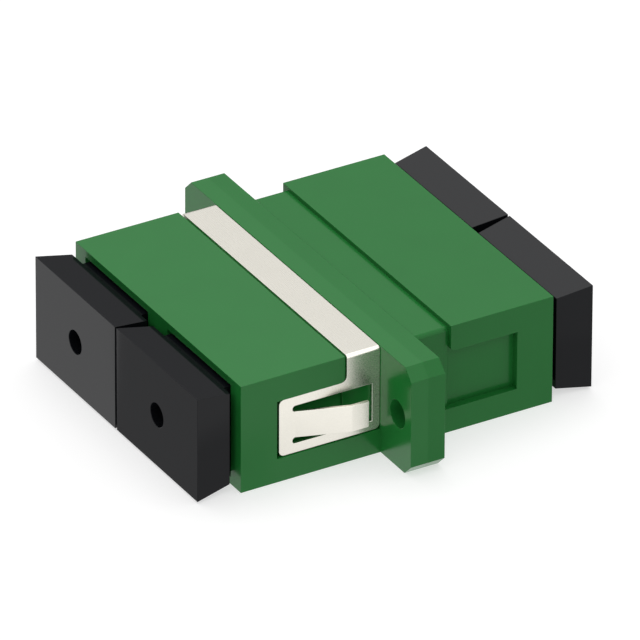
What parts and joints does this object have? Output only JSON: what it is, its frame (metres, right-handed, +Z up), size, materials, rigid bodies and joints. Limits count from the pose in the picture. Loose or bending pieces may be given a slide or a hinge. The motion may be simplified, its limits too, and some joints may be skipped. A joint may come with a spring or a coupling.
{
  "type": "sc fibre adapter",
  "caption": "Flat fibre plug coupler with side-by-side ports, a screw flange, a sprung panel clip, inner alignment sleeves and pull-off dust caps.",
  "frame": {"origin": "on the underside, midway across the width, in the plane where the two housing halves meet", "axes": "+X to the right seen from the front, +Y along the fibres towards the rear, +Z up; the clip side is the front"},
  "size_m": [0.0346, 0.035, 0.0093],
  "materials": {
    "green_plastic": "smooth moulded, satin",
    "clip_steel": "polished stainless spring sheet",
    "cap_plastic": "smooth moulded, satin",
    "holder_plastic": "natural moulded",
    "sleeve_ceramic": "ground ceramic"
  },
  "bodies": {
    "adapter": {"housing_front": "green_plastic", "housing_rear": "green_plastic", "panel_clip": "clip_steel", "latch_holder_front_left": "holder_plastic", "latch_holder_rear_left": "holder_plastic", "split_sleeve_left": "sleeve_ceramic", "latch_holder_front_right": "holder_plastic", "latch_holder_rear_right": "holder_plastic", "split_sleeve_right": "sleeve_ceramic"},
    "cap_front_left": {"dust_cap_front_left": "cap_plastic"},
    "cap_front_right": {"dust_cap_front_right": "cap_plastic"},
    "cap_rear_left": {"dust_cap_rear_left": "cap_plastic"},
    "cap_rear_right": {"dust_cap_rear_right": "cap_plastic"}
  },
  "joints": [
    {"name": "cap_front_left_pull", "type": "slide", "parent": "adapter", "child": "cap_front_left", "axis": [0, -1, 0], "range_m": [0, 0.03]},
    {"name": "cap_front_right_pull", "type": "slide", "parent": "adapter", "child": "cap_front_right", "axis": [0, -1, 0], "range_m": [0, 0.03]},
    {"name": "cap_rear_left_pull", "type": "slide", "parent": "adapter", "child": "cap_rear_left", "axis": [0, 1, 0], "range_m": [0, 0.03]},
    {"name": "cap_rear_right_pull", "type": "slide", "parent": "adapter", "child": "cap_rear_right", "axis": [0, 1, 0], "range_m": [0, 0.03]}
  ]
}
